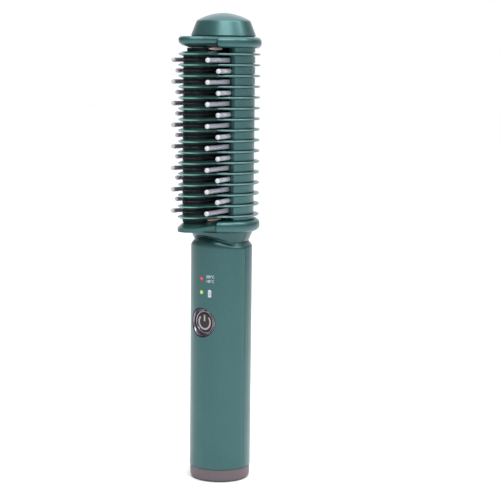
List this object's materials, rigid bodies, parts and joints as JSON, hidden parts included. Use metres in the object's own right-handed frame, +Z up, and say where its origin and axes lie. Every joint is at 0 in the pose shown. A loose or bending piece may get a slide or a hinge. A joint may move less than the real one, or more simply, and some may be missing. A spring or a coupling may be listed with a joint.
{
  "type": "cordless hair straightening brush",
  "caption": "Upright cordless straightening brush: round handle with a press button and lights, a finned heated comb with two fans of splayed pins, and a domed cap.",
  "frame": {"origin": "centre of the end cap's flat base, on the handle's axis", "axes": "+Z up the handle to the dome; -Y is the front, where the fins, pins, lights and button face; X across, with the part's plane of symmetry at X = 0"},
  "size_m": [0.043, 0.0558, 0.266],
  "materials": {
    "shell": "satin metallic teal-green paint on moulded ABS",
    "fin": "dark glossy green coat on die-cast aluminium",
    "cap": "brownish grey moulding",
    "bezel": "purple-grey satin paint on a moulded ring",
    "button": "brown satin plastic",
    "symbol": "light grey print",
    "carrier": "dark green heat-proof moulding",
    "pin": "polished aluminium pin",
    "pin_tip": "white nylon",
    "heater": "white ceramic element",
    "insulator": "amber insulating film",
    "steel": "bright zinc-plated steel",
    "sensor": "black epoxy",
    "fuse": "metal can",
    "lead": "silicone wire jacket",
    "switch": "dark switch housing",
    "board": "green solder mask",
    "chip": "moulded chip package",
    "led": "clear-topped LED package",
    "lens_red": "red light pipe",
    "lens_green": "yellow-green light pipe",
    "cell": "blue shrink sleeve",
    "cradle": "dark grey moulding",
    "tab": "nickel strip",
    "port": "plated port shell",
    "gasket": "black rubber"
  },
  "bodies": {
    "brush": {"rear_shell": "shell", "front_shell": "shell", "heat_comb": "fin", "head_plate_top": "shell", "head_plate_bottom": "shell", "dome_cap": "shell", "pin_carriers": "carrier", "pins_long": "pin", "pins_short": "pin", "pin_tips_long": "pin_tip", "pin_tips_short": "pin_tip", "heater_plate": "heater", "heater_insulators": "insulator", "heater_clamp": "steel", "clamp_screws": "steel", "thermistor": "sensor", "thermal_fuse": "fuse", "heater_leads": "lead", "comb_screws": "steel", "button_bezel": "bezel", "switch_body": "switch", "main_board": "board", "board_screws": "steel", "control_chip": "chip", "power_transistors": "chip", "inductor": "chip", "indicator_leds": "led", "heat_light_lens": "lens_red", "charge_light_lens": "lens_green", "battery_cell": "cell", "battery_cradle": "cradle", "battery_tabs": "tab", "charge_board": "board", "charge_port_shell": "port", "charge_port_tongue": "chip", "end_cap": "cap", "cap_screws": "steel", "seam_gasket": "gasket"},
    "button": {"power_button": "button", "power_symbol": "symbol", "switch_plunger": "switch"}
  },
  "joints": [
    {"name": "power_button_press", "type": "slide", "parent": "brush", "child": "button", "axis": [0, 1, 0], "range_m": [0, 0.0006], "stiffness_N_per_m": 2500, "springref_m": -0.0003}
  ]
}
